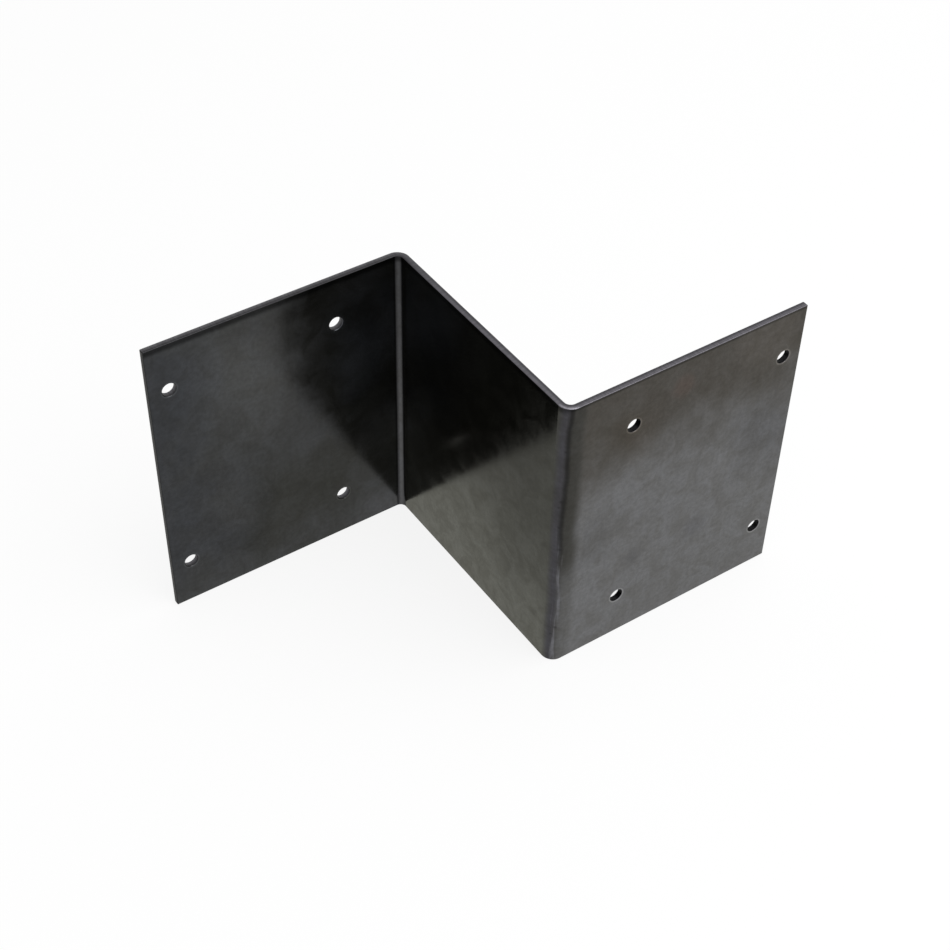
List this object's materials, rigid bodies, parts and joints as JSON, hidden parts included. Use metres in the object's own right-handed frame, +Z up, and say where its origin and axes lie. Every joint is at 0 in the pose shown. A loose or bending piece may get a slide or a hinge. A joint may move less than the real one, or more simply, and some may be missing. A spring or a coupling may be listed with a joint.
{
  "type": "motor bracket",
  "caption": "Z-shaped motor bracket: a folded steel plate whose web joins parallel, offset flanges, with a rectangle of bolt holes in each flange.",
  "frame": {"origin": "under the middle of the web, on the surface that the bracket stands on", "axes": "+Z up along the bends; +X from the rear flange's free end to the front flange's; +Y out of the rear flange's outer face"},
  "size_m": [0.247, 0.125, 0.15],
  "materials": {
    "dark_steel": "semi-gloss dark grey mill scale, faintly mottled, lighter on the cut edges"
  },
  "bodies": {
    "root": {"bracket": "dark_steel"}
  },
  "joints": []
}
